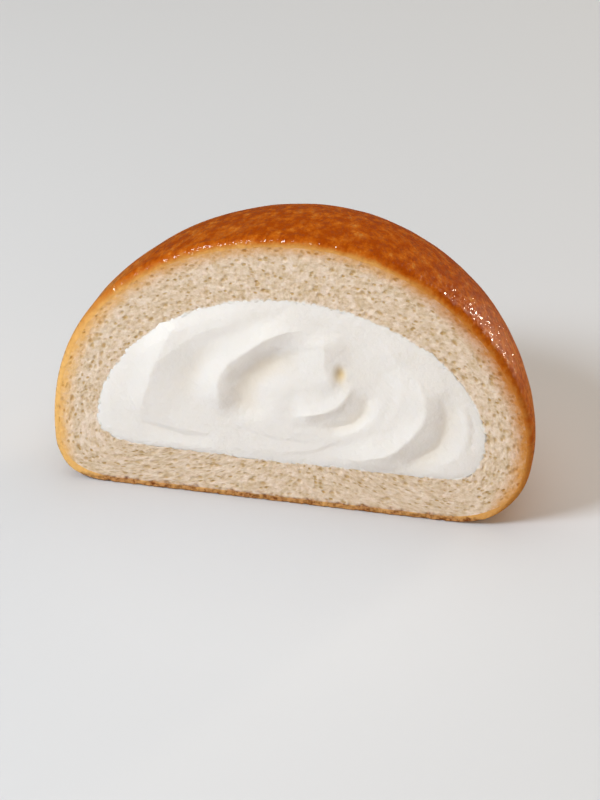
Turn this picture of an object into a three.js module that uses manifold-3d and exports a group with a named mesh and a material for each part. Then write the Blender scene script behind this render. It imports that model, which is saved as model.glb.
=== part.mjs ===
// Half of a glazed brioche bun filled with whipped cream.
// Millimetres, +Z up. The half stands on its flat base and its cut face looks along -Y.
// Seen from the front, -X is the left, wider end of the bun and +X the right, steeper end.
import * as THREE from "three";
import { ParametricGeometry } from "three/addons/geometries/ParametricGeometry.js";
import { mergeVertices } from "three/addons/utils/BufferGeometryUtils.js";
import Module from "manifold-3d";

// Sizes of the bun, a dome on a flat base. For each end:
// reach is the half width at its widest, widest the height of that, foot the half width of the flat base,
// and fullness the exponent of the dome's curve, where 2 is an ellipse and more is squarer.
const BUN = {
  axis: 0,
  floor: 0,
  roof: 68.5,
  depth: 61.6,
  left: { reach: 59, widest: 10.9, foot: 45.2, fullness: 2.28 },
  right: { reach: 52, widest: 22, foot: 32.2, fullness: 1.74 },
};
// Sizes of the pocket in the crumb, which the cream fills
const POCKET = {
  axis: -2.7,
  floor: 11.8,
  roof: 52.8,
  depth: 49,
  left: { reach: 44.8, widest: 18, foot: 32, fullness: 1.77 },
  right: { reach: 43.4, widest: 22.5, foot: 35, fullness: 1.85 },
};
const CORNER_FULLNESS = 2.5; // curve of the corner between the flat base and the side
const CREAM_GAP = 0.3; // clearance between the cream and the crumb

// Folds of the cream on the cut face. Each is a stretch of a spiral round the point x, z, between two angles
// in degrees, over which its radius goes from radius[0] to radius[1]; tall is its height over its width.
// Its crest stands out by rise, or is sunk where rise is below 0, and runs out over the width inner or outer
// on either side. sharp goes from 0, a round crest, to 1, a crease.
const FOLDS = {
  leftRim: {
    x: -5, z: -10.5, angle: [94, 136], radius: [45, 45], tall: 1.3,
    rise: 0.6, inner: 7.5, outer: 6, sharp: 0.6,
  },
  leftSide: {
    x: 6.5, z: 8, angle: [137, 172], radius: [45, 45], tall: 1.3,
    rise: 0.8, inner: 9, outer: 7, sharp: 0.6,
  },
  leftRidge: {
    x: 7.5, z: 24.5, angle: [94, 192], radius: [33.5, 25.5], tall: 0.7,
    rise: 1.4, inner: 9, outer: 7.5, sharp: 0.7,
  },
  hollow: {
    x: 5.5, z: 24.5, angle: [101, 199], radius: [23.5, 18], tall: 0.7,
    rise: -0.9, inner: 9, outer: 5.5, sharp: 0,
  },
  lobe: {
    x: 33, z: 43, angle: [170, 206], radius: [28, 28], tall: 1,
    rise: 1, inner: 6.5, outer: 8, sharp: 0.3,
  },
  tongue: {
    x: -1.5, z: 39.5, angle: [-96, -19], radius: [16, 14.5], tall: 0.95,
    rise: 1, inner: 9, outer: 4.5, sharp: 1,
  },
  crescent: {
    x: 5.5, z: 31, angle: [-108, 18], radius: [10, 9], tall: 0.95,
    rise: -0.5, inner: 4, outer: 4, sharp: 1,
  },
  innerRing: {
    x: 5, z: 31, angle: [-101, 21], radius: [14, 12], tall: 0.85,
    rise: 0.2, inner: 2.5, outer: 3.5, sharp: 0.5,
  },
  outerRing: {
    x: 7.5, z: 37.5, angle: [-79, 50], radius: [18.5, 12.5], tall: 1,
    rise: 0.4, inner: 7, outer: 6, sharp: 0.7,
  },
  rightRidge: {
    x: 4, z: 29, angle: [-83, 43], radius: [21.5, 25], tall: 0.72,
    rise: 1.4, inner: 9, outer: 8, sharp: 0.7,
  },
  rightTrough: {
    x: 20.5, z: 26, angle: [-80, 44], radius: [11, 12.5], tall: 1.05,
    rise: -0.6, inner: 3.5, outer: 5, sharp: 0.8,
  },
  rightRim: {
    x: 25.5, z: 20, angle: [-37, 51], radius: [7.5, 14.5], tall: 1.15,
    rise: 0.15, inner: 1.5, outer: 4.5, sharp: 0.3,
  },
  rimGroove: {
    x: 18.5, z: 23.5, angle: [-16, 29], radius: [19.5, 20.5], tall: 1,
    rise: -0.2, inner: 1, outer: 3, sharp: 0.3,
  },
  lowGroove: {
    x: -5.5, z: 59, angle: [-108, -72], radius: [37.5, 39], tall: 1.1,
    rise: -0.12, inner: 1, outer: 2.5, sharp: 0.3,
  },
  leftCrease: {
    x: -22, z: 81.5, angle: [-106, -88], radius: [60, 60], tall: 1.1,
    rise: -0.35, inner: 1.5, outer: 3, sharp: 0.3,
  },
  bottomGroove: {
    x: -9, z: 45, angle: [-86, -47], radius: [28, 29.5], tall: 1.15,
    rise: -0.15, inner: 1, outer: 3.5, sharp: 0.3,
  },
};
const FOLD_TAPER = 0.28; // share of a fold's length over which it rises at either end
// Pit at the eye of the swirl
const EYE = { x: 8.7, z: 36.3, across: 1.1, tall: 1.9, sunk: 0.8 };

// Facets: columns round the whole form, and rows across its base, up its corner and over its dome
const BUN_FACETS = { columns: 76, base: 1, corner: 7, dome: 24 };
const POCKET_FACETS = { columns: 56, base: 1, corner: 5, dome: 16 };
const SWIRL_STEP = 1.2; // spacing of the points of the cream's face
const SPARE = 10; // how far a cutting block reaches past what it cuts

const BREAD_LOOK = { color: 0xb9752f, roughness: 0.45, metalness: 0 };
const CREAM_LOOK = { color: 0xe6e0d8, roughness: 0.5, metalness: 0 };
const QUARTER_TURN = Math.PI / 2;

const wasm = await Module();
wasm.setup();

// Half width and height of a dome form on one bearing, at a row counted from the middle of its base
// to its crown. rightness is 1 on the bearing of the right end and 0 on that of the left end.
function outline(form, facets, rightness, row) {
  const size = (name) => THREE.MathUtils.lerp(form.left[name], form.right[name], rightness);
  const reach = size("reach");
  const widest = size("widest");
  const foot = size("foot");
  if (row <= facets.base) {
    return { radius: (foot * row) / facets.base, height: form.floor };
  }
  const cornerRow = row - facets.base;
  if (cornerRow <= facets.corner) {
    const slope = (1 - cornerRow / facets.corner) * QUARTER_TURN;
    const power = 2 / CORNER_FULLNESS;
    return {
      radius: foot + (reach - foot) * Math.cos(slope) ** power,
      height: widest - (widest - form.floor) * Math.sin(slope) ** power,
    };
  }
  const slope = ((cornerRow - facets.corner) / facets.dome) * QUARTER_TURN;
  return {
    radius: reach * Math.cos(slope),
    height: widest + (form.roof - widest) * Math.sin(slope) ** (2 / size("fullness")),
  };
}

// Whole dome form as a closed surface. Its columns stand half a step off the cut plane.
function domeGeometry(form, facets) {
  const rows = facets.base + facets.corner + facets.dome;
  const deepness = (2 * form.depth) / (form.left.reach + form.right.reach);
  const place = (u, v, target) => {
    const bearing = (u + 0.5 / facets.columns) * 2 * Math.PI;
    const { radius, height } = outline(form, facets, 0.5 + 0.5 * Math.cos(bearing), v * rows);
    target.set(form.axis + radius * Math.cos(bearing), deepness * radius * Math.sin(bearing), height);
  };
  return new ParametricGeometry(place, facets.columns, rows);
}

// A form whose surface lies inside that of the given one by a gap
function shrunk(form, gap) {
  const end = (sizes) => ({ ...sizes, reach: sizes.reach - gap, foot: sizes.foot - gap });
  return {
    ...form,
    floor: form.floor + gap,
    roof: form.roof - gap,
    depth: form.depth - gap,
    left: end(form.left),
    right: end(form.right),
  };
}

// How far one fold stands out of the cut plane at a point of it
function foldRise(fold, x, z) {
  const across = x - fold.x;
  const up = (z - fold.z) / fold.tall;
  const [start, end] = fold.angle;
  const middle = (start + end) / 2;
  const turned = THREE.MathUtils.radToDeg(Math.atan2(up, across)) - middle;
  const angle = THREE.MathUtils.euclideanModulo(turned + 180, 360) - 180 + middle;
  const along = THREE.MathUtils.clamp((angle - start) / (end - start), 0, 1);
  const off = Math.hypot(across, up) - THREE.MathUtils.lerp(fold.radius[0], fold.radius[1], along);
  const share = Math.min(off > 0 ? off / fold.outer : -off / fold.inner, 1);
  const taper =
    THREE.MathUtils.smoothstep(along, 0, FOLD_TAPER) *
    (1 - THREE.MathUtils.smoothstep(along, 1 - FOLD_TAPER, 1));
  return fold.rise * taper * (1 - share) ** 2 * (1 + 2 * (1 - fold.sharp) * share);
}

// How far the cream stands out of the cut plane at a point of it
function swirl(x, z) {
  const folds = Object.values(FOLDS).reduce((rise, fold) => rise + foldRise(fold, x, z), 0);
  const fromEye = ((x - EYE.x) / EYE.across) ** 2 + ((z - EYE.z) / EYE.tall) ** 2;
  return folds - EYE.sunk * Math.exp(-fromEye);
}

// Block behind the swirled front of the cream, larger than the pocket on every other side
function swirlGeometry(form) {
  const width = form.left.reach + form.right.reach + 2 * SPARE;
  const height = form.roof - form.floor + 2 * SPARE;
  const depth = form.depth + SPARE;
  const columns = Math.round(width / SWIRL_STEP);
  const rows = Math.round(height / SWIRL_STEP);
  const block = new THREE.BoxGeometry(width, depth, height, columns, 1, rows);
  const middle = form.axis + (form.right.reach - form.left.reach) / 2;
  block.translate(middle, 0, (form.roof + form.floor) / 2);
  const points = block.attributes.position;
  for (let i = 0; i < points.count; i++) {
    const front = points.getY(i) < 0;
    points.setY(i, front ? -swirl(points.getX(i), points.getZ(i)) : depth);
  }
  return block;
}

// Block that holds the half of the bun behind the cut
function halfGeometry(form) {
  const width = 2 * (form.left.reach + form.right.reach);
  const depth = form.depth + SPARE;
  const height = form.roof + 2 * SPARE;
  const block = new THREE.BoxGeometry(width, depth, height);
  return block.translate(form.axis, depth / 2, height / 2 - SPARE);
}

// Closed geometry as a solid that can be cut and joined
function solid(geometry) {
  geometry.deleteAttribute("normal");
  geometry.deleteAttribute("uv");
  const merged = mergeVertices(geometry);
  const corners = merged.index.array;
  const triVerts = [];
  for (let i = 0; i < corners.length; i += 3) {
    const [a, b, c] = corners.slice(i, i + 3);
    const open = a !== b && b !== c && c !== a;
    if (open) triVerts.push(a, b, c);
  }
  const mesh = new wasm.Mesh({
    numProp: 3,
    vertProperties: merged.attributes.position.array,
    triVerts: Uint32Array.from(triVerts),
  });
  return new wasm.Manifold(mesh);
}

// Named mesh of a finished solid
function subPart(name, shape, look) {
  const { vertProperties, triVerts } = shape.getMesh();
  const geometry = new THREE.BufferGeometry();
  geometry.setAttribute("position", new THREE.BufferAttribute(vertProperties, 3));
  geometry.setIndex(new THREE.BufferAttribute(triVerts, 1));
  geometry.computeVertexNormals();
  const mesh = new THREE.Mesh(geometry, new THREE.MeshStandardMaterial(look));
  mesh.name = name;
  return mesh;
}

const wholeBun = solid(domeGeometry(BUN, BUN_FACETS));
const pocket = solid(domeGeometry(POCKET, POCKET_FACETS));
const bread = wholeBun.intersect(solid(halfGeometry(BUN))).subtract(pocket);

const creamForm = shrunk(POCKET, CREAM_GAP);
const cream = solid(domeGeometry(creamForm, POCKET_FACETS)).intersect(solid(swirlGeometry(creamForm)));

// The part's origin is at the middle of its box, on the surface that it stands on
const bun = new THREE.Group();
bun.add(subPart("bread", bread, BREAD_LOOK));
bun.add(subPart("cream", cream, CREAM_LOOK));
const extent = new THREE.Box3().setFromObject(bun);
const middle = extent.getCenter(new THREE.Vector3());
bun.position.set(-middle.x, -middle.y, -extent.min.z);

const part = new THREE.Group();
part.add(bun);
export default part;
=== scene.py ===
"""Half of a glazed brioche bun filled with whipped cream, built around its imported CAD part."""

import math

import bpy
import numpy as np
from bpy.props import FloatProperty, FloatVectorProperty, IntProperty, PointerProperty
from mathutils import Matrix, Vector, noise


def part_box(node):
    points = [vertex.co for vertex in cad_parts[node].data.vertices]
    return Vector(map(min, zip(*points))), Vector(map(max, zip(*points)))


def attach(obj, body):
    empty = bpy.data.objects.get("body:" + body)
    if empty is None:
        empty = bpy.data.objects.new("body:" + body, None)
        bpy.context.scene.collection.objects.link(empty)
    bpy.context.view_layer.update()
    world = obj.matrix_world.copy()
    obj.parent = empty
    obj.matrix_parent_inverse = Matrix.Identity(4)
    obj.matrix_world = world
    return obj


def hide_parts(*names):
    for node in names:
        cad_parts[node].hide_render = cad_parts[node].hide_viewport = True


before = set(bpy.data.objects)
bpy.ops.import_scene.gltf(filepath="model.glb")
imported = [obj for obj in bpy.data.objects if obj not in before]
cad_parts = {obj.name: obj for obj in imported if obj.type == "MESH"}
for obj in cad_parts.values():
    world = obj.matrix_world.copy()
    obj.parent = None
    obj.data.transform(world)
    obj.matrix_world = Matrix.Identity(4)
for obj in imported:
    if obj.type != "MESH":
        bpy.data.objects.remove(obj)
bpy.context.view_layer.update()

bl_info = {
    "name": "Brioche bun half",
    "version": (1, 0, 0),
    "blender": (4, 5, 0),
    "location": "3D View > Sidebar > Brioche",
    "description": "Makes half of a glazed brioche bun with whipped cream",
    "category": "Add Mesh",
}

MM = 0.001  # metres in a millimetre
SEED = 7  # of the random draws that place the pores

# The bun and its pocket are domes on flat bases, in millimetres from the foot of the bun's axis on the cut
# plane. Each pair holds the left and the right end: reach is the half width, widest the height where it is
# reached, foot the half width of the flat base, and fullness the exponent of the dome's curve, where 2 is an
# ellipse.
BREAD_LOW, BREAD_HIGH = (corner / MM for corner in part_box("bread"))
BUN = {
    "axis": 0,
    "floor": 0,
    "roof": BREAD_HIGH.z,
    "depth": BREAD_HIGH.y - BREAD_LOW.y,
    "reach": (59, 52),
    "widest": (10.9, 22),
    "foot": (45.2, 32.2),
    "fullness": (2.28, 1.74),
}
POCKET = {
    "axis": -2.7,
    "floor": 11.8,
    "roof": 52.8,
    "depth": 49,
    "reach": (44.8, 43.4),
    "widest": (18, 22.5),
    "foot": (32, 35),
    "fullness": (1.77, 1.85),
}
CORNER_FULLNESS = 2.5  # curve of the corner between the flat base and the side
# Foot of the bun's axis on the cut plane, in the frame
FOOT = np.array([(BREAD_LOW.x + BREAD_HIGH.x + BUN["reach"][0] - BUN["reach"][1]) / 2, BREAD_LOW.y, 0])
RAY_START = np.array([-1, 0, 30])  # point of the cut plane inside both forms, from which skins are cast

# Folds of the cream on the cut face. Each is a stretch of a spiral round the point x, z, between two angles
# in degrees, over which its radius goes from the first to the second; tall is its height over its width.
# Its crest stands out by rise, or is sunk where rise is below 0, and runs out over the width inner or outer
# on either side. sharp goes from 0, a round crest, to 1, a crease.
FOLD_FIELDS = ("x", "z", "angle", "radius", "tall", "rise", "inner", "outer", "sharp")
FOLDS = {
    "left rim": (-5, -10.5, (94, 136), (45, 45), 1.3, 0.6, 7.5, 6, 0.6),
    "left side": (6.5, 8, (137, 172), (45, 45), 1.3, 0.8, 9, 7, 0.6),
    "left ridge": (7.5, 24.5, (94, 192), (33.5, 25.5), 0.7, 1.4, 9, 7.5, 0.7),
    "hollow": (5.5, 24.5, (101, 199), (23.5, 18), 0.7, -0.9, 9, 5.5, 0),
    "lobe": (33, 43, (170, 206), (28, 28), 1, 1, 6.5, 8, 0.3),
    "tongue": (-1.5, 39.5, (-96, -19), (16, 14.5), 0.95, 1, 9, 4.5, 1),
    "crescent": (5.5, 31, (-108, 18), (10, 9), 0.95, -0.5, 4, 4, 1),
    "inner ring": (5, 31, (-101, 21), (14, 12), 0.85, 0.2, 2.5, 3.5, 0.5),
    "outer ring": (7.5, 37.5, (-79, 50), (18.5, 12.5), 1, 0.4, 7, 6, 0.7),
    "right ridge": (4, 29, (-83, 43), (21.5, 25), 0.72, 1.4, 9, 8, 0.7),
    "right trough": (20.5, 26, (-80, 44), (11, 12.5), 1.05, -0.6, 3.5, 5, 0.8),
    "right rim": (25.5, 20, (-37, 51), (7.5, 14.5), 1.15, 0.15, 1.5, 4.5, 0.3),
    "rim groove": (18.5, 23.5, (-16, 29), (19.5, 20.5), 1, -0.2, 1, 3, 0.3),
    "low groove": (-5.5, 59, (-108, -72), (37.5, 39), 1.1, -0.12, 1, 2.5, 0.3),
    "left crease": (-22, 81.5, (-106, -88), (60, 60), 1.1, -0.35, 1.5, 3, 0.3),
    "bottom groove": (-9, 45, (-86, -47), (28, 29.5), 1.15, -0.15, 1, 3.5, 0.3),
}
FOLD_TAPER = 0.28  # share of a fold's length over which it rises at either end
EYE = {"x": 8.7, "z": 36.3, "across": 1.1, "tall": 1.9, "sunk": 0.8}  # pit at the eye of the swirl
# Painted shade: the cream is tinted darker and warmer where it lies lower than the cream round it
HOLLOW_REACH = 6.5  # how far around a point the cream counts for how hollow it is there
HOLLOW_SHADE_FULL = 1.3  # hollowness at which the cream gets the most painted shade
PAINTED_HOLLOW_SHADE = 0.25  # share of the painted hollow shade there
LIP = 4  # width over which the smeared edge of the cream thins out
EDGE_SUNK = 0.06  # how far the cream's edge lies behind the cut plane
CREAM_TUCK = 0.8  # how far the cream's rim runs in behind the cut plane
STEEPEST = 0.5  # depth of the cream behind its edge over the distance from it, at most

# Points of the skins: columns round the cut plane, and rows from the cut plane to the back of a form or
# across it
COLUMNS = 1120
CRUST_STEP = 2  # columns of the cut face to one of the crust
CREAM_STEP = 2  # and to one of the cream
POCKET_STEP = 4  # and to one of the pocket
CUT_ROWS = 56
CRUST_ROWS = 64
CRUST_FIRST_ROW = 5  # the crust's first row, behind the rounded edge of the cut
POCKET_ROWS = 14
POCKET_FIRST_ROW = 1  # and the pocket's
POCKET_RIM_LEAN = math.radians(0.6)  # lean of the ring of the pocket just behind the cut
CREAM_ROWS = 96
ROW_GROWTH = 1.3  # exponent that makes rows wider towards the back
HALVING_LEANS = (math.radians(50), math.radians(72))  # leans past each of which a skin has half the columns
# Shares of the way to the middle past each of which the cream has half the columns
CREAM_HALVINGS = (0.5, 0.75, 0.88)
BISECTIONS = 36  # steps to find where a ray leaves a form
POINT_SPACING = 0.2  # about the least distance between points of the cut face

# Cut edge and base of the bread, in millimetres except for shares
EDGE_SHARE = 0.125  # share of the crumb's width over which the glazed edge round the cut is rounded
EDGE_ROWS = round(EDGE_SHARE * CUT_ROWS)
BASE_EDGE = 0.15  # share of that rounding at the base
BASE_EDGE_ENDS = (1, 7)  # heights between which the rounding grows
LUMPS_START = (1, 8)  # heights between which the lumps of the crust grow
TORN_HEIGHT = 1.5  # height of the torn lower edge
TORN_DEPTH = 8  # how far behind the cut it goes
TORN_LIFT = 0.45  # how far it is lifted off the floor
GLAZE_BEHIND = 0.7  # share of the glaze behind the cut edge
GLAZE_EDGE = (1, 4)  # distances behind the cut between which it thins out

# Pores of the crumb, in millimetres except for ratios
PORE_SPREAD = 0.4  # spread of the logarithm of their width
PORE_WIDTHS = (0.3, 1.1)  # narrowest and widest
PORE_STRETCH = (1.1, 1.9)  # length over width
PORE_BEND = 0.5  # how crooked they are at most
PORE_CROSSING = 0.4  # squared share of its half length at which a crooked pore crosses its axis
PORE_DEPTH = 0.18  # depth over width
PORE_AHEAD = 4  # columns to either side that show which way the crust runs
PORES_BEHIND_CRUST = (1.2, 4.5)  # distances from the crust between which pores get deep
PORES_BESIDE_CREAM = (0, 0.6)  # distances from the cream between which they do
PORE_SHADE_DEPTHS = (0.02, 0.26)  # depths between which a pore takes on its painted shade
CRUMB_STRETCH = 1.35  # how much longer than wide the cells of the crumb are

# Browning of the crust, from 0 to 1. Heights are shares of the bun's height, and sides of its left reach.
PALEST = 0.1  # browning of the palest crust
BROWNED = 0.8  # how much browner the crown is
BROWN_HEIGHTS = (0.05, 0.85)  # heights between which it gets browner
BROWN_LEAN = 0.32  # how much lower the browning reaches for each reach to the right
BROWN_LEAN_END = 0.5  # side beyond which it reaches no lower
RIGHT_SIDES = (0.4, 0.9)  # sides between which the right end begins
RIGHT_EVEN = 0.6  # how much more even the browning is there
RIGHT_HEIGHT = 0.33  # height whose browning the right end comes near
TRAY_BROWNED = 0.85  # browning by the tray along the foot of the bun
TRAY_HEIGHTS = (1.1, 2.3)  # heights between which it ends, in millimetres

# Rind: the crumb under the crust. Depths are shares of the rind's depth, the rest is in millimetres.
LEFT_END = (5, 54)  # distances to the left of the axis between which the left end begins
RIGHT_END = (15, 45)  # and to the right of it, the right end
BASE_END = (0.5, 8)  # heights between which the base ends
RIND_LEFT = 0.12  # how much deeper the rind is at the left end
RIND_RIGHT = 0.15  # and at the right end
RIND_BASE = 0.7  # how much shallower it is at the base
RIND_FADE = 0.75  # how much paler it is than the crust over it
RIND_FADE_RIGHT = 0.45  # the same at the right end
RIND_FADES = (0, 0.4)  # depths between which it gets paler
RIND_ENDS = (0.22, 1.2)  # depths between which it gives way to plain crumb
RIND_FRAYED = 0.9  # distance from the crust at which it is fully frayed
FILM_ENDS = (0.1, 0.9)  # distances from the cream over which its film on the crumb thins out

# Unevenness as layers of noise, each with its height and the width of its lumps, in millimetres
CRUST_LUMPS = ((0.7, 13), (0.3, 5))  # heights as shares of the setting
CRUMB_TEARS = ((0.09, 1.1), (0.06, 0.55))
BASE_TEARS = ((1, 2.5), (0.6, 1.1))  # heights as shares of the lift
BROWN_PATCHES = ((0.1, 14),)  # heights in browning
TRAY_FRAY = ((0.8, 2.2), (0.6, 0.9))
TRAY_PATCHES = ((0.3, 4), (0.3, 1.3))  # heights in browning
RIND_FRAY = ((0.3, 2.5), (0.15, 0.8))
FILM_FRAY = ((0.7, 2.5), (0.5, 0.8))
SMEAR_FRAY = ((0.6, 5), (0.6, 1.6))  # heights as shares of the overlap
CREAM_WAVER = ((0.5, 8), (0.12, 2.5))
CREAM_RIPPLES = ((0.05, 3), (0.03, 1.2))

# Places of the zones of each piece on its bake map: middle and radius of a disc, or corners of a box
CRUST_DISC = ((0.305, 0.305), 0.295)
CRUMB_BOX = ((0.01, 0.62), (0.99, 0.99))
POCKET_DISC = ((0.81, 0.2), 0.18)
CREAM_BACK_DISC = ((0.2, 0.2), 0.19)
CREAM_FACE_BOX = ((-0.15, 0.3), (1.2, 1.2))

MIX_SHARE, MIX_FIRST, MIX_SECOND, MIX_RESULT = 0, 6, 7, 2  # sockets of a Mix node for colours

# Stage
AIM = np.array([-0.3, -1.2, 29.1])  # what the camera looks at, from the foot of the bun's axis
FLOOR_HALF = 12  # half the width of the floor, in metres
SKY_TINT = (1, 0.9, 0.7, 1)
# The setting that holds each light's power, its place and width in metres, its tint, and whether it is
# mirrored. Mirrored in the glaze, the fill and top lights would lay a grey veil over the brown crust.
LIGHTS = {
    "key_light": ("key_power", (-0.6, -0.5, 0.69), 0.3, (0.84, 0.93, 1), True),
    "fill_light": ("fill_power", (0.3, -1.1, 0.7), 0.9, (1, 0.68, 0.38), False),
    "top_light": ("top_power", (0, 0.3, 2), 2.4, (1, 0.97, 0.88), False),
    "side_light": ("side_power", (1, 0.6, 0.5), 1, (1, 0.92, 0.78), True),
    "window_light": ("window_power", (0.66, 0.88, 0.09), 0.1, (1, 0.84, 0.64), True),
}


# Settings


def linear(code):
    """An sRGB hex colour as linear red, green and blue."""
    shares = [int(code[i : i + 2], 16) / 255 for i in (1, 3, 5)]
    return tuple(s / 12.92 if s <= 0.04045 else ((s + 0.055) / 1.055) ** 2.4 for s in shares)


def colour(name, description, code):
    """A setting for a colour, from its sRGB hex code."""
    return FloatVectorProperty(
        name=name, description=description, subtype="COLOR", size=3, min=0, max=1, default=linear(code)
    )


def length(name, description, millimetres):
    """A setting for a length, kept in metres."""
    return FloatProperty(name=name, description=description, unit="LENGTH", min=0, default=millimetres * MM)


def power(name, description, watts):
    """A setting for the power of a light."""
    return FloatProperty(name=name, description=description, unit="POWER", min=0, default=watts)


def turn(name, description, degrees):
    """A setting for an angle, kept in radians."""
    return FloatProperty(name=name, description=description, subtype="ANGLE", default=math.radians(degrees))


class BriocheBread(bpy.types.PropertyGroup):
    """Sizes and colours of the bread"""

    pale_crust: colour("Pale crust", "Crust that was shaded from the oven's heat", "#F5C276")
    gold_crust: colour("Golden crust", "Crust on the sides", "#CC883E")
    brown_crust: colour("Brown crust", "Crust under the crown", "#B85D10")
    dark_crust: colour("Dark crust", "Crust at the crown", "#9C4204")
    base_crust: colour("Base crust", "Rim of the base, baked on the tray", "#C9925C")
    base_scorch: colour("Scorched base", "Spots of the base that the tray has scorched", "#7E431A")
    crumb: colour("Crumb", "Walls between the pores", "#F5E3D2")
    crumb_shade: colour("Dense crumb", "Crumb where the walls lie close", "#D5BC99")
    # Painted shade: the bottoms of the pores and the dimples of the crumb are darkened with this tint
    painted_pore_shade: colour("Pore", "Tint of the bottom of a pore", "#D8C28C")
    pore_width: length("Pore width", "Typical width of a pore", 0.55)
    pore_count: IntProperty(name="Pores", description="Number of pores on the cut face", min=0, default=1700)
    rind: length("Rind", "Depth to which the crust has coloured the crumb at the crown", 4.6)
    lumps: length("Lumps", "Height of the unevenness of the crust", 0.3)
    glaze: FloatProperty(
        name="Glaze",
        description="How glossy the beads of egg glaze are",
        subtype="FACTOR",
        min=0,
        max=1,
        default=0.9,
    )


class BriocheCream(bpy.types.PropertyGroup):
    """Sizes and colours of the cream"""

    cream: colour("Cream", "Face of the cream", "#F6F3F0")
    # Painted shade: this darker, warmer tint is laid on the cream in the hollows and the eye of the swirl,
    # for the shade there
    painted_hollow_shade: colour("Hollow", "Cream deep in the swirl, where light passes through it twice", "#E6CFA0")
    overlap: length("Overlap", "How far the cream is smeared over the crumb", 0.7)
    bead: length("Bead", "How far the cream stands out of the cut", 0.3)


class BriocheStage(bpy.types.PropertyGroup):
    """Floor, lights and camera"""

    floor: colour("Floor", "Colour of the floor", "#D2D3D8")
    key_power: power("Key light", "Power of the light at the left", 8.2)
    fill_power: power("Fill light", "Power of the light in front", 3.6)
    top_power: power("Top light", "Power of the light overhead", 26)
    side_power: power("Side light", "Power of the light at the right", 3.6)
    window_power: power("Window", "Power of the small light at the back", 4.5)
    sky: FloatProperty(
        name="Room light",
        description="Strength of the even light from all round",
        min=0,
        default=0.08,
    )
    lens: FloatProperty(
        name="Lens",
        description="Focal length of the camera in millimetres",
        min=1,
        default=94.8,
    )
    azimuth: turn("Azimuth", "Turn of the camera to the right", 11.7)
    elevation: turn("Elevation", "Height of the camera", 32)
    distance: length("Distance", "From the camera to the bun", 469)


class BriocheSettings(bpy.types.PropertyGroup):
    """All settings of the bun"""

    bread: PointerProperty(type=BriocheBread)
    cream: PointerProperty(type=BriocheCream)
    stage: PointerProperty(type=BriocheStage)


# Shapes


def smoothstep(value, low, high):
    """A smooth step from 0 at low to 1 at high."""
    share = np.clip((value - low) / (high - low), 0, 1)
    return share * share * (3 - 2 * share)


def is_inside(form, points):
    """Whether points lie in a dome form."""
    across = points[..., 0] - form["axis"]
    inward = points[..., 1] * sum(form["reach"]) / (2 * form["depth"])
    height = points[..., 2]
    radius = np.hypot(across, inward)
    rightness = 0.5 + 0.5 * across / np.maximum(radius, 1e-9)

    def size(name):
        left, right = form[name]
        return left + (right - left) * rightness

    reach = size("reach")
    widest = size("widest")
    foot = size("foot")
    above = np.maximum((height - widest) / (form["roof"] - widest), 0)
    below = np.maximum((widest - height) / (widest - form["floor"]), 0)
    corner = np.maximum((radius - foot) / (reach - foot), 0)
    dome = (radius / reach) ** 2 + above ** size("fullness")
    side = corner**CORNER_FULLNESS + below**CORNER_FULLNESS
    return np.where(height > widest, dome, side) < 1


def cast(form, turns, lean):
    """Points of a form's surface on rays that turn round the cut plane from +X to +Z and lean to +Y."""
    flat = math.cos(lean)
    inward = np.full_like(turns, math.sin(lean))
    rays = np.stack([flat * np.cos(turns), inward, flat * np.sin(turns)], axis=-1)
    near = np.zeros_like(turns)
    far = np.full_like(turns, sum(BUN["reach"]))
    for _ in range(BISECTIONS):
        middle = (near + far) / 2
        inside = is_inside(form, RAY_START + middle[:, None] * rays)
        near = np.where(inside, middle, near)
        far = np.where(inside, far, middle)
    return RAY_START + near[:, None] * rays


def even_turns():
    """Turns of the columns, starting below, spaced evenly along the middle of the ring of crumb."""
    fine = np.linspace(-0.5 * np.pi, 1.5 * np.pi, 4 * COLUMNS + 1)
    middle = (cast(BUN, fine, 0) + cast(POCKET, fine, 0)) / 2
    steps = np.linalg.norm(np.diff(middle, axis=0), axis=1)
    along = np.append(0, np.cumsum(steps)) / steps.sum()
    return np.interp(np.arange(COLUMNS) / COLUMNS, along, fine)


def back_rings(form, turns, rows, first_row):
    """Rings of a form's surface from its furthest point at the back to a row near the cut plane."""
    rings = [cast(form, turns[:1], math.pi / 2)]
    for row in range(rows - 1, first_row - 1, -1):
        lean = math.pi / 2 * (row / rows) ** ROW_GROWTH
        halvings = sum(lean > limit for limit in HALVING_LEANS)
        rings.append(cast(form, turns[:: 2**halvings], lean))
    return rings


def stitch(rings):
    """Faces between rings, by gap. Rings have one point, or as many as the next, twice or half as many."""
    starts = np.cumsum([0] + [len(ring) for ring in rings])
    gaps = []
    for index in range(len(rings) - 1):
        here, there = len(rings[index]), len(rings[index + 1])
        step = np.arange(min(here, there) if min(here, there) > 1 else max(here, there))

        def first(number):
            return starts[index] + number % here

        def second(number):
            return starts[index + 1] + number % there

        if here == there:
            corners = [(first(step), first(step + 1), second(step + 1), second(step))]
        elif here == 1:
            corners = [(first(step), second(step + 1), second(step))]
        elif there == 1:
            corners = [(first(step), first(step + 1), second(step))]
        elif there == 2 * here:
            corners = [
                (first(step), second(2 * step + 1), second(2 * step)),
                (first(step), first(step + 1), second(2 * step + 1)),
                (first(step + 1), second(2 * step + 2), second(2 * step + 1)),
            ]
        else:
            corners = [
                (first(2 * step), first(2 * step + 1), second(step)),
                (first(2 * step + 1), second(step + 1), second(step)),
                (first(2 * step + 1), first(2 * step + 2), second(step + 1)),
            ]
        gaps.append([face for group in corners for face in np.stack(group, axis=1).tolist()])
    return gaps


def unevenness(points, layers):
    """Smooth noise at points, summed over layers of a height and the width of its lumps."""
    flat = points.reshape(-1, 3)
    values = np.zeros(len(flat))
    for height, width in layers:
        values += height * np.array([noise.noise(Vector(point / width)) for point in flat])
    return values.reshape(points.shape[:-1])


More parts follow.
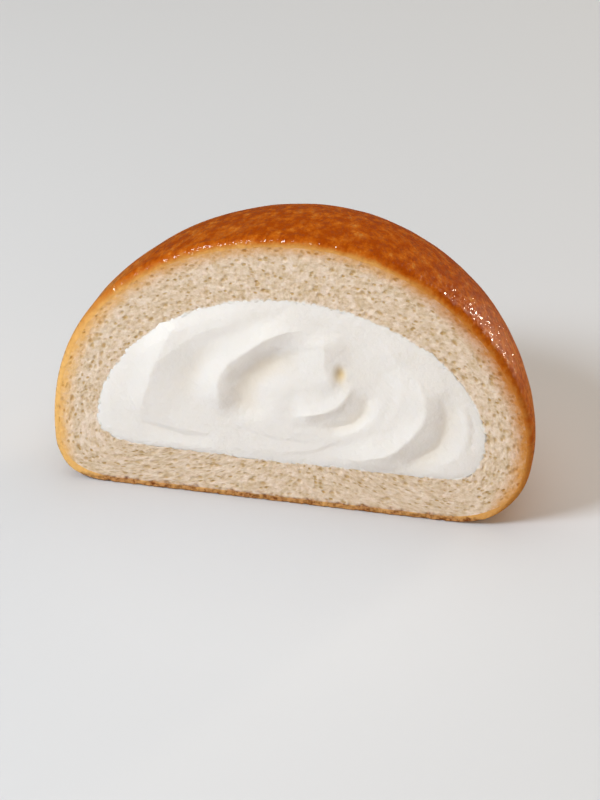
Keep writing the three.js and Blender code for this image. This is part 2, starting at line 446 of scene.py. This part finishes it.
def fold_rise(fold, x, z):
    """How far one fold stands out of the cut plane."""
    fold = dict(zip(FOLD_FIELDS, fold))
    across = x - fold["x"]
    up = (z - fold["z"]) / fold["tall"]
    start, end = fold["angle"]
    middle = (start + end) / 2
    angle = (np.degrees(np.arctan2(up, across)) - middle + 180) % 360 - 180 + middle
    along = np.clip((angle - start) / (end - start), 0, 1)
    first, last = fold["radius"]
    off = np.hypot(across, up) - first - along * (last - first)
    share = np.minimum(np.where(off > 0, off / fold["outer"], -off / fold["inner"]), 1)
    taper = smoothstep(along, 0, FOLD_TAPER) * (1 - smoothstep(along, 1 - FOLD_TAPER, 1))
    return fold["rise"] * taper * (1 - share) ** 2 * (1 + 2 * (1 - fold["sharp"]) * share)


def eye_depth(x, z):
    """How far the eye of the swirl is sunk, as a share of its depth."""
    return np.exp(-(((x - EYE["x"]) / EYE["across"]) ** 2) - ((z - EYE["z"]) / EYE["tall"]) ** 2)


def swirl(x, z):
    """How far the cream stands out of the cut plane."""
    return sum(fold_rise(fold, x, z) for fold in FOLDS.values()) - EYE["sunk"] * eye_depth(x, z)


def hollowness(x, z):
    """How much lower the cream lies than the cream around it, in millimetres."""
    around = np.radians(np.arange(0, 360, 45))
    offsets = zip(HOLLOW_REACH * np.cos(around), HOLLOW_REACH * np.sin(around))
    ring = [swirl(x + across, z + up) for across, up in offsets]
    return np.mean(ring, axis=0) - swirl(x, z)


def browning(points):
    """How brown the oven has made the crust, from 0 to 1."""
    height = points[:, 2] / BUN["roof"]
    side = points[:, 0] / BUN["reach"][0]
    height -= RIGHT_EVEN * smoothstep(side, *RIGHT_SIDES) * (height - RIGHT_HEIGHT)
    top = smoothstep(height + BROWN_LEAN * np.minimum(side, BROWN_LEAN_END), *BROWN_HEIGHTS)
    return np.clip(PALEST + BROWNED * top + unevenness(points, BROWN_PATCHES), 0, 1)


def base_browning(points):
    """How brown the baking tray has made the rim of the base."""
    height = points[:, 2] + unevenness(points, TRAY_FRAY)
    strength = TRAY_BROWNED + unevenness(points, TRAY_PATCHES)
    return np.clip(strength * (1 - smoothstep(height, *TRAY_HEIGHTS)), 0, 1)


def rind_depth(outline, settings):
    """How deep the rind is at points of the cut outline, in millimetres."""
    left = smoothstep(-outline[:, 0], *LEFT_END)
    right = smoothstep(outline[:, 0], *RIGHT_END)
    base = 1 - smoothstep(outline[:, 2], *BASE_END)
    return settings.rind / MM * (1 + RIND_RIGHT * right + RIND_LEFT * left) * (1 - RIND_BASE * base)


def pore_depths(cut, settings):
    """Depth of the pores at each point of the cut face, in millimetres. Pores lie along the outline."""
    random = np.random.default_rng(SEED)
    rows, columns = cut.shape[:2]
    depths = np.zeros((rows, columns))
    for _ in range(settings.pore_count):
        row = random.integers(1, rows)
        column = random.integers(columns)
        width = np.clip(settings.pore_width / MM * math.exp(random.normal(0, PORE_SPREAD)), *PORE_WIDTHS)
        stretch = random.uniform(*PORE_STRETCH)
        bend = random.uniform(-PORE_BEND, PORE_BEND)
        reach = int(width * stretch / POINT_SPACING) + 2
        near_rows = np.arange(max(row - reach, 0), min(row + reach + 1, rows))
        near_columns = np.arange(column - reach, column + reach + 1) % columns
        window = np.ix_(near_rows, near_columns)
        along = cut[0, (column + PORE_AHEAD) % columns] - cut[0, column - PORE_AHEAD]
        along = along / np.linalg.norm(along)
        off = cut[window] - cut[row, column]
        lengthways = off @ along / (width * stretch / 2)
        sideways = off @ np.array([-along[1], along[0]]) / (width / 2)
        sideways += bend * (lengthways**2 - PORE_CROSSING)
        share = np.clip(1 - lengthways**2 - sideways**2, 0, None)
        depths[window] = np.maximum(depths[window], PORE_DEPTH * width * np.sqrt(share))
    return depths


def cut_face(turns):
    """Points of the flat cut face in rows from the crust to the pocket, and how far each is from either."""
    outer = cast(BUN, turns, 0)
    inner = cast(POCKET, turns, 0)
    shares = np.linspace(0, 1, CUT_ROWS + 1)[:, None]
    width = np.linalg.norm(inner - outer, axis=1)
    return outer + (inner - outer) * shares[..., None], width * shares, width * (1 - shares)


def drawn_place(cut, from_edge):
    """Where each point of the cut face lies on a ring with the crumb's depth for its height. The ring is
    shorter than the crumb, so that a pattern on it is drawn out along the crust."""
    middle = cut[len(cut) // 2]
    around = np.linalg.norm(middle - np.roll(middle, 1, axis=0), axis=1).sum()
    radius = around / (2 * math.pi * CRUMB_STRETCH)
    turns = np.linspace(0, 2 * math.pi, len(middle), endpoint=False)
    flat = np.ones_like(from_edge)
    return radius * np.cos(turns) * flat, radius * np.sin(turns) * flat, from_edge


def carved(cut, from_edge, pores):
    """The cut face with its pores sunk, its crumb torn and its glazed edge rounded."""
    above_base = smoothstep(cut[0, :, 2], *BASE_EDGE_ENDS)
    radius = EDGE_SHARE * from_edge[-1] * (BASE_EDGE + (1 - BASE_EDGE) * above_base)
    worn = np.clip(radius - from_edge, 0, None)
    rounding = radius - np.sqrt(radius**2 - worn**2)
    face = cut.copy()
    face[..., 1] += pores + unevenness(cut, CRUMB_TEARS) + rounding
    return face


def lumped(ring, settings):
    """A ring of the crust with the unevenness of risen dough."""
    lift = settings.lumps / MM * unevenness(ring, CRUST_LUMPS)
    rays = ring - RAY_START
    rays = rays / np.linalg.norm(rays, axis=1)[:, None]
    return ring + rays * (lift * smoothstep(ring[:, 2], *LUMPS_START))[:, None]


def with_torn_base(points):
    """Points with the lower edge of the cut lifted a little off the floor here and there."""
    low = 1 - smoothstep(points[:, 2], 0, TORN_HEIGHT)
    near_cut = points[:, 1] < TORN_DEPTH
    torn = np.clip(unevenness(points, BASE_TEARS), 0, None)
    return points + np.outer(TORN_LIFT * low * torn * near_cut, (0, 0, 1))


# Meshes and materials


def make_piece(name, node, points, faces, materials, zones, attributes, maps):
    """Makes a closed piece that stands for a CAD node. zones holds the number of each face's zone. Each zone
    has its own bake map and its own material, or the last material where there are fewer."""
    mesh = bpy.data.meshes.new(name)
    mesh.from_pydata(((points + FOOT) * MM).tolist(), [], faces)
    for material in materials:
        mesh.materials.append(material)
    mesh.polygons.foreach_set("material_index", np.minimum(zones, len(materials) - 1))
    mesh.shade_smooth()
    for title, values in attributes.items():
        kind, field = ("FLOAT", "value") if values.ndim == 1 else ("FLOAT_VECTOR", "vector")
        mesh.attributes.new(title, kind, "POINT").data.foreach_set(field, values.astype(np.float32).ravel())
    corner_zones = np.repeat(zones, [len(face) for face in faces])
    corner_points = np.concatenate([np.array(face) for face in faces])
    baked = np.stack(maps)[corner_zones, corner_points]
    mesh.uv_layers.new(name="OFBake").uv.foreach_set("vector", baked.astype(np.float32).ravel())
    if mesh.validate():
        raise RuntimeError(f"The mesh of {name} has faulty faces")
    piece = bpy.data.objects.new(name, mesh)
    bpy.context.scene.collection.objects.link(piece)
    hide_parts(node)
    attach(piece, "root")


def disc_map(points, middle, radius):
    """Bake map of a form's back as a disc, unrolled from its furthest point."""
    rays = points - RAY_START
    flat = np.hypot(rays[:, 0], rays[:, 2])
    lean = np.arctan2(np.maximum(rays[:, 1], 0), flat)
    share = radius * (1 - lean / (math.pi / 2)) / np.maximum(flat, 1e-9)
    return np.stack([middle[0] + share * rays[:, 0], middle[1] + share * rays[:, 2]], axis=1)


def face_map(points, low, high):
    """Bake map of a cut face, stretched to fill the box from low to high."""
    face = points[:, [0, 2]]
    spread = BUN["reach"][0] + BUN["reach"][1], BUN["roof"]
    share = (face + [BUN["reach"][0], 0]) / spread
    return np.array(low) + np.clip(share, 0, 1) * (np.array(high) - low)


def per_metre(millimetres):
    """Scale of a pattern whose features are this wide."""
    return 1 / (millimetres * MM)


def add(tree, kind, inputs=None, stops=(), **settings):
    """Adds a node, sets or links its inputs, and fills its colour ramp where it has one."""
    node = tree.nodes.new("ShaderNode" + kind)
    for name, value in settings.items():
        setattr(node, name, value)
    for socket, value in (inputs or {}).items():
        if isinstance(value, bpy.types.NodeSocket):
            tree.links.new(value, node.inputs[socket])
        else:
            node.inputs[socket].default_value = value
    for position, shade in stops:
        element = node.color_ramp.elements.new(position)
        element.color = (*shade, 1)
    if stops:
        node.color_ramp.elements.remove(node.color_ramp.elements[0])
        node.color_ramp.elements.remove(node.color_ramp.elements[-1])
    return node


def new_material(name):
    """An empty material, its node tree and the socket that its shader goes to."""
    material = bpy.data.materials.new(name)
    material.use_nodes = True
    material.node_tree.nodes.clear()
    output = add(material.node_tree, "OutputMaterial")
    return material, material.node_tree, output.inputs["Surface"]


def crust_stops(settings):
    """Colours of the crust from pale to dark, with the browning that each stands for."""
    return (
        (0.02, settings.pale_crust),
        (0.35, settings.gold_crust),
        (0.66, settings.brown_crust),
        (0.98, settings.dark_crust),
    )


def with_tray_rim(tree, shade, settings):
    """A colour, browned and speckled along the rim of the base where the tray has scorched the dough."""
    place = add(tree, "TexCoord").outputs["Object"]
    tray = add(tree, "Attribute", attribute_name="tray").outputs["Fac"]
    specks = add(tree, "TexNoise", {"Vector": place, "Scale": per_metre(0.9), "Detail": 3, "Roughness": 0.6})
    scorched = add(tree, "MapRange", {"Value": specks.outputs["Fac"], "From Min": 0.42, "From Max": 0.58})
    rim = add(
        tree,
        "Mix",
        {
            MIX_SHARE: scorched.outputs[0],
            MIX_FIRST: (*settings.base_crust, 1),
            MIX_SECOND: (*settings.base_scorch, 1),
        },
        data_type="RGBA",
    )
    browned = add(
        tree,
        "Mix",
        {MIX_SHARE: tray, MIX_FIRST: shade, MIX_SECOND: rim.outputs[MIX_RESULT]},
        data_type="RGBA",
    )
    return browned.outputs[MIX_RESULT]


def glazed_crust(settings):
    """Brioche crust brushed with egg and baked: a thin clear gloss over a wrinkled, mottled brown skin."""
    material, tree, surface = new_material("egg_glazed_brioche_crust")
    place = add(tree, "TexCoord").outputs["Object"]
    brown = add(tree, "Attribute", attribute_name="browning").outputs["Fac"]
    drawn = add(tree, "Mapping", {"Vector": place, "Scale": (1, 0.6, 1)}).outputs["Vector"]
    mottle = add(tree, "TexNoise", {"Vector": drawn, "Scale": per_metre(2.4), "Detail": 6, "Roughness": 0.7})
    swing = add(tree, "Math", {0: mottle.outputs["Fac"], 1: 2.6, 2: -1.35}, operation="MULTIPLY_ADD")
    share = add(tree, "Math", {0: brown, 1: 2}, operation="POWER")
    mottled = add(
        tree,
        "Math",
        {0: swing.outputs[0], 1: share.outputs[0], 2: brown},
        operation="MULTIPLY_ADD",
    )
    ramp = add(tree, "ValToRGB", {"Fac": mottled.outputs[0]}, stops=crust_stops(settings))
    baked = with_tray_rim(tree, ramp.outputs["Color"], settings)
    wrinkles = add(
        tree,
        "TexNoise",
        {"Vector": drawn, "Scale": per_metre(1), "Detail": 4, "Roughness": 0.55},
    )
    skin = add(tree, "Bump", {"Height": wrinkles.outputs["Fac"], "Distance": 0.25 * MM, "Strength": 1})
    waves = add(tree, "TexNoise", {"Vector": drawn, "Scale": per_metre(1.6), "Detail": 2, "Roughness": 0.5})
    gloss = add(tree, "Bump", {"Height": waves.outputs["Fac"], "Distance": 0.65 * MM, "Strength": 1})
    pooled = add(
        tree,
        "TexNoise",
        {"Vector": drawn, "Scale": per_metre(1), "Detail": 3, "Roughness": 0.55, "W": 4},
        noise_dimensions="4D",
    )
    beads = add(
        tree,
        "MapRange",
        {"Value": pooled.outputs["Fac"], "From Min": 0.47, "From Max": 0.6, "To Max": settings.glaze},
    )
    brushed = add(tree, "Attribute", attribute_name="glaze").outputs["Fac"]
    gleam = add(tree, "Math", {0: beads.outputs[0], 1: brushed}, operation="MULTIPLY")
    shader = add(
        tree,
        "BsdfPrincipled",
        {
            "Base Color": baked,
            "Roughness": 0.4,
            "IOR": 1.45,
            "Specular IOR Level": 0.04,
            "Coat Weight": gleam.outputs[0],
            "Coat Roughness": 0.08,
            "Coat IOR": 1.6,
            "Normal": skin.outputs["Normal"],
            "Coat Normal": gloss.outputs["Normal"],
        },
    )
    tree.links.new(shader.outputs["BSDF"], surface)
    return material


def cut_crumb(settings, cream):
    """Brioche crumb cut with a knife: soft, matt, slightly see-through walls round pores with painted shade
    at their bottoms, browned at the rind and smeared with cream along the filling. The rising dough has
    drawn the pores out along the crust."""
    material, tree, surface = new_material("cut_brioche_crumb")
    place = add(tree, "Attribute", attribute_name="crumb_place").outputs["Vector"]
    brown = add(tree, "Attribute", attribute_name="browning").outputs["Fac"]
    # Share of painted shade at the bottom of each pore
    pore = add(tree, "Attribute", attribute_name="pore").outputs["Fac"]
    toast = add(tree, "Attribute", attribute_name="toast").outputs["Fac"]
    smear = add(tree, "Attribute", attribute_name="smear").outputs["Fac"]
    rind = add(tree, "ValToRGB", {"Fac": brown}, stops=crust_stops(settings))
    clumps = add(
        tree,
        "TexNoise",
        {"Vector": place, "Scale": per_metre(1.6), "Detail": 6, "Roughness": 0.75},
    )
    dense = add(tree, "MapRange", {"Value": clumps.outputs["Fac"], "From Min": 0.38, "From Max": 0.64})
    strands = add(
        tree,
        "Mix",
        {
            MIX_SHARE: dense.outputs[0],
            MIX_FIRST: (*settings.crumb, 1),
            MIX_SECOND: (*settings.crumb_shade, 1),
        },
        data_type="RGBA",
    )
    twist = add(tree, "TexNoise", {"Vector": place, "Scale": per_metre(1), "Detail": 3})
    warped = add(
        tree,
        "VectorMath",
        {0: twist.outputs["Color"], 1: (0.7 * MM, 0.7 * MM, 0.7 * MM), 2: place},
        operation="MULTIPLY_ADD",
    )
    cells = add(tree, "TexVoronoi", {"Vector": warped.outputs[0], "Scale": per_metre(0.9)})
    # The dimples sink the middles of some cells in the bump, and also darken them as painted shade
    middles = add(tree, "MapRange", {"Value": cells.outputs["Distance"], "From Min": 0.5, "From Max": 0.2})
    some = add(tree, "MapRange", {"Value": cells.outputs["Color"], "From Min": 0.4, "From Max": 0.85})
    dimples = add(tree, "Math", {0: middles.outputs[0], 1: some.outputs[0]}, operation="MULTIPLY")
    hollow = add(tree, "Math", {0: dimples.outputs[0], 1: pore}, operation="MAXIMUM")
    crisp = add(tree, "Math", {0: dense.outputs[0], 1: 0.4, 2: 0.8}, operation="MULTIPLY_ADD")
    patches = add(tree, "Math", {0: toast, 1: crisp.outputs[0]}, operation="MULTIPLY", use_clamp=True)
    toasted = add(
        tree,
        "Mix",
        {
            MIX_SHARE: patches.outputs[0],
            MIX_FIRST: strands.outputs[MIX_RESULT],
            MIX_SECOND: rind.outputs["Color"],
        },
        data_type="RGBA",
    )
    baked = with_tray_rim(tree, toasted.outputs[MIX_RESULT], settings)
    # Painted shade: the pores and the dimples are darkened with the pore tint
    pore_shaded = add(
        tree,
        "Mix",
        {MIX_SHARE: hollow.outputs[0], MIX_FIRST: baked, MIX_SECOND: (*settings.painted_pore_shade, 1)},
        data_type="RGBA",
        blend_type="MULTIPLY",
    )
    shade = add(
        tree,
        "Mix",
        {MIX_SHARE: smear, MIX_FIRST: pore_shaded.outputs[MIX_RESULT], MIX_SECOND: (*cream.cream, 1)},
        data_type="RGBA",
    )
    grain = add(tree, "TexNoise", {"Vector": place, "Scale": per_metre(0.5), "Detail": 3, "Roughness": 0.6})
    relief = add(
        tree,
        "Math",
        {0: dimples.outputs[0], 1: -1, 2: grain.outputs["Fac"]},
        operation="MULTIPLY_ADD",
    )
    rough = add(tree, "Bump", {"Height": relief.outputs[0], "Distance": 0.2 * MM, "Strength": 0.7})
    shader = add(
        tree,
        "BsdfPrincipled",
        {
            "Base Color": shade.outputs[MIX_RESULT],
            "Roughness": 0.8,
            "IOR": 1.4,
            "Subsurface Weight": 0.2,
            "Subsurface Radius": (1, 0.7, 0.45),
            "Subsurface Scale": 0.5 * MM,
            "Normal": rough.outputs["Normal"],
        },
    )
    tree.links.new(shader.outputs["BSDF"], surface)
    return material


def whipped_cream(settings):
    """Whipped dairy cream spread with a knife: smooth and milky, with a moist sheen and a fine grain."""
    material, tree, surface = new_material("spread_whipped_cream")
    place = add(tree, "TexCoord").outputs["Object"]
    # Painted shade: the hollows and the eye of the swirl are tinted darker and warmer
    sunk = add(tree, "Attribute", attribute_name="sunk").outputs["Fac"]
    shade = add(
        tree,
        "Mix",
        {MIX_SHARE: sunk, MIX_FIRST: (*settings.cream, 1), MIX_SECOND: (*settings.painted_hollow_shade, 1)},
        data_type="RGBA",
    )
    grain = add(tree, "TexNoise", {"Vector": place, "Scale": per_metre(1.3), "Detail": 5, "Roughness": 0.6})
    rough = add(tree, "Bump", {"Height": grain.outputs["Fac"], "Distance": 0.25 * MM, "Strength": 0.6})
    shader = add(
        tree,
        "BsdfPrincipled",
        {
            "Base Color": shade.outputs[MIX_RESULT],
            "Roughness": 0.5,
            "IOR": 1.4,
            "Subsurface Weight": 0.3,
            "Subsurface Radius": (1, 0.9, 0.75),
            "Subsurface Scale": 1 * MM,
            "Normal": rough.outputs["Normal"],
        },
    )
    tree.links.new(shader.outputs["BSDF"], surface)
    return material


def painted_floor(settings):
    """Pale matt paint, rolled on: an even tone without gloss."""
    material, tree, surface = new_material("rolled_matt_paint")
    place = add(tree, "TexCoord").outputs["Object"]
    stipple = add(tree, "TexNoise", {"Vector": place, "Scale": per_metre(2), "Detail": 2})
    rough = add(tree, "Bump", {"Height": stipple.outputs["Fac"], "Distance": 0.02 * MM, "Strength": 0.2})
    shader = add(
        tree,
        "BsdfPrincipled",
        {"Base Color": (*settings.floor, 1), "Roughness": 0.7, "Normal": rough.outputs["Normal"]},
    )
    tree.links.new(shader.outputs["BSDF"], surface)
    return material


# Operators


class BRIOCHE_OT_bread(bpy.types.Operator):
    """Make the bread: glazed crust, cut face with its pores, and the pocket behind the cream"""

    bl_idname = "brioche.bread"
    bl_label = "Make bread"

    def execute(self, context):
        settings = context.scene.brioche.bread
        turns = even_turns()
        cut, from_edge, from_cream = cut_face(turns)
        rind = rind_depth(cut[0], settings)
        pores = pore_depths(cut[..., [0, 2]], settings)
        pores *= smoothstep(from_edge, *PORES_BEHIND_CRUST) * smoothstep(from_cream, *PORES_BESIDE_CREAM)

        crust = back_rings(BUN, turns[::CRUST_STEP], CRUST_ROWS, CRUST_FIRST_ROW)
        crust = [lumped(ring, settings) for ring in crust]
        pocket = back_rings(POCKET, turns[::POCKET_STEP], POCKET_ROWS, POCKET_FIRST_ROW)
        pocket = [cast(POCKET, turns[:: POCKET_STEP // 2], POCKET_RIM_LEAN), *pocket[::-1]]
        rings = [*crust, *carved(cut, from_edge, pores), *pocket]
        gaps = stitch(rings)
        points = with_torn_base(np.concatenate(rings))

        def attribute(on_crust, on_cut, on_pocket):
            """Values at every point, from those of the crust, the cut face and the pocket."""
            counts = [sum(len(ring) for ring in part) for part in (crust, pocket)]
            outside = np.full(counts[0], on_crust)
            inside = np.full(counts[1], on_pocket)
            return np.concatenate([outside, on_cut.ravel(), inside])

        crumb_place = [attribute(0, part, 0) for part in drawn_place(cut, from_edge)]
        frayed = unevenness(cut, RIND_FRAY) * smoothstep(from_edge, 0, RIND_FRAYED)
        depth = (from_edge + frayed) / rind
        fade = RIND_FADE + (RIND_FADE_RIGHT - RIND_FADE) * smoothstep(cut[0, :, 0], *RIGHT_END)
        faded = browning(cut[0]) * (1 - fade * smoothstep(depth, *RIND_FADES))
        film = from_cream + unevenness(cut, FILM_FRAY)
        attributes = {
            "browning": attribute(browning(np.concatenate(crust)), faded, 0),
            "toast": attribute(1, 1 - smoothstep(depth, *RIND_ENDS), 0),
            "crumb_place": np.stack(crumb_place, axis=1) * MM,
            # share of painted shade at the bottom of each pore
            "pore": attribute(0, smoothstep(pores, *PORE_SHADE_DEPTHS), 0),
            "smear": attribute(0, 1 - smoothstep(film, *FILM_ENDS), 0),
            "tray": base_browning(points),
            "glaze": GLAZE_BEHIND + (1 - GLAZE_BEHIND) * (1 - smoothstep(points[:, 1], *GLAZE_EDGE)),
        }
        glazed = len(crust) + EDGE_ROWS
        crumb = CUT_ROWS - EDGE_ROWS
        zone_of_gap = [0] * glazed + [1] * crumb + [2] * (len(gaps) - glazed - crumb)
        make_piece(
            "brioche_bread",
            "bread",
            points,
            [face for gap in gaps for face in gap],
            [glazed_crust(settings), cut_crumb(settings, context.scene.brioche.cream)],
            np.repeat(zone_of_gap, [len(gap) for gap in gaps]),
            attributes,
            [disc_map(points, *CRUST_DISC), face_map(points, *CRUMB_BOX), disc_map(points, *POCKET_DISC)],
        )
        return {"FINISHED"}


class BRIOCHE_OT_cream(bpy.types.Operator):
    """Make the cream: its swirled face, its smeared edge and the part inside the bun"""

    bl_idname = "brioche.cream"
    bl_label = "Make cream"

    def execute(self, context):
        settings = context.scene.brioche.cream
        overlap = settings.overlap / MM
        bead = settings.bead / MM
        turns = even_turns()[::CREAM_STEP]
        rim = cast(POCKET, turns, 0)
        rays = rim - RAY_START
        reach = np.linalg.norm(rays, axis=1)
        rays = rays / reach[:, None]
        reach += overlap * (1 + unevenness(rim, SMEAR_FRAY))
        edge = RAY_START + rays * reach[:, None]

        back = back_rings(POCKET, turns[:: POCKET_STEP // CREAM_STEP], POCKET_ROWS, POCKET_FIRST_ROW)
        tucked = rim + [0, CREAM_TUCK, 0]
        rings = [*back, tucked]
        for row in range(CREAM_ROWS):
            share = row / CREAM_ROWS
            step = 2 ** sum(share > limit for limit in CREAM_HALVINGS)
            ring = (edge + (RAY_START - edge) * share)[::step].copy()
            from_edge = share * reach[::step]
            lip = np.clip(1 - from_edge / LIP, 0, 1) ** 2
            waver = unevenness(ring, CREAM_WAVER)
            folded = swirl(ring[:, 0] + waver, ring[:, 2] - waver)
            raised = np.maximum(folded, -STEEPEST * from_edge) + bead
            ring[:, 1] = -raised * (1 - lip) + EDGE_SUNK * lip
            rings.append(ring)
        middle = RAY_START[None].astype(float)
        middle[:, 1] = -swirl(middle[:, 0], middle[:, 2]) - bead
        rings.append(middle)
        gaps = stitch(rings)
        points = np.concatenate(rings)
        back_count = sum(len(ring) for ring in rings[: len(back) + 1])
        front = np.arange(len(points)) >= back_count
        points[:, 1] += np.where(front, unevenness(points, CREAM_RIPPLES), 0)
        # Painted shade: a darker, warmer tint where the cream lies lower than round it, and fully in the eye
        # of the swirl
        deep = PAINTED_HOLLOW_SHADE * smoothstep(hollowness(points[:, 0], points[:, 2]), 0, HOLLOW_SHADE_FULL)
        sunk = np.where(front, np.maximum(deep, eye_depth(points[:, 0], points[:, 2])), 0)
        zone_of_gap = [0] * len(back) + [1] * (len(gaps) - len(back))
        make_piece(
            "brioche_cream",
            "cream",
            points,
            [face for gap in gaps for face in gap],
            [whipped_cream(settings)],
            np.repeat(zone_of_gap, [len(gap) for gap in gaps]),
            {"sunk": sunk},
            [disc_map(points, *CREAM_BACK_DISC), face_map(points, *CREAM_FACE_BOX)],
        )
        return {"FINISHED"}


class BRIOCHE_OT_stage(bpy.types.Operator):
    """Make the floor, the lights and the camera"""

    bl_idname = "brioche.stage"
    bl_label = "Make stage"

    def execute(self, context):
        scene = context.scene
        settings = scene.brioche.stage
        scene.view_settings.view_transform = "Standard"
        aim = Vector((AIM + FOOT) * MM)

        mesh = bpy.data.meshes.new("floor")
        corners = [(-1, -1), (1, -1), (1, 1), (-1, 1)]
        mesh.from_pydata([(x * FLOOR_HALF, y * FLOOR_HALF, 0) for x, y in corners], [], [(0, 1, 2, 3)])
        mesh.materials.append(painted_floor(settings))
        floor = bpy.data.objects.new("floor", mesh)
        floor.visible_glossy = False
        scene.collection.objects.link(floor)

        world = bpy.data.worlds.new("room")
        world.use_nodes = True
        background = world.node_tree.nodes["Background"]
        background.inputs["Color"].default_value = SKY_TINT
        background.inputs["Strength"].default_value = settings.sky
        scene.world = world

        for name, (setting, place, width, tint, mirrored) in LIGHTS.items():
            lamp = bpy.data.lights.new(name, "AREA")
            lamp.size = width
            lamp.energy = getattr(settings, setting)
            lamp.color = tint
            light = bpy.data.objects.new(name, lamp)
            light.location = place
            light.rotation_euler = (aim - Vector(place)).to_track_quat("-Z", "Y").to_euler()
            light.visible_camera = False
            light.visible_glossy = mirrored
            scene.collection.objects.link(light)

        lens = bpy.data.cameras.new("camera")
        lens.lens = settings.lens
        lens.clip_start = 0.01
        camera = bpy.data.objects.new("camera", lens)
        flat = math.cos(settings.elevation)
        right = math.sin(settings.azimuth) * flat
        front = math.cos(settings.azimuth) * flat
        back = Vector((right, -front, math.sin(settings.elevation)))
        camera.location = aim + back * settings.distance
        camera.rotation_euler = back.to_track_quat("Z", "Y").to_euler()
        scene.collection.objects.link(camera)
        scene.camera = camera
        return {"FINISHED"}


class BRIOCHE_PT_sidebar(bpy.types.Panel):
    """Lists the pieces of the bun and their settings"""

    bl_label = "Brioche bun half"
    bl_idname = "BRIOCHE_PT_sidebar"
    bl_space_type = "VIEW_3D"
    bl_region_type = "UI"
    bl_category = "Brioche"

    def draw(self, context):
        settings = context.scene.brioche
        for operator, group in zip(OPERATORS, (settings.bread, settings.cream, settings.stage)):
            self.layout.operator(operator.bl_idname)
            for name in type(group).__annotations__:
                self.layout.prop(group, name)


OPERATORS = (BRIOCHE_OT_bread, BRIOCHE_OT_cream, BRIOCHE_OT_stage)
CLASSES = (BriocheBread, BriocheCream, BriocheStage, BriocheSettings, *OPERATORS, BRIOCHE_PT_sidebar)


def register():
    for made in CLASSES:
        bpy.utils.register_class(made)
    bpy.types.Scene.brioche = PointerProperty(type=BriocheSettings)


def unregister():
    del bpy.types.Scene.brioche
    for made in reversed(CLASSES):
        bpy.utils.unregister_class(made)


def main():
    """Makes the bun and its stage."""
    register()
    bpy.ops.brioche.bread()
    bpy.ops.brioche.cream()
    bpy.ops.brioche.stage()


if __name__ == "__main__":
    main()
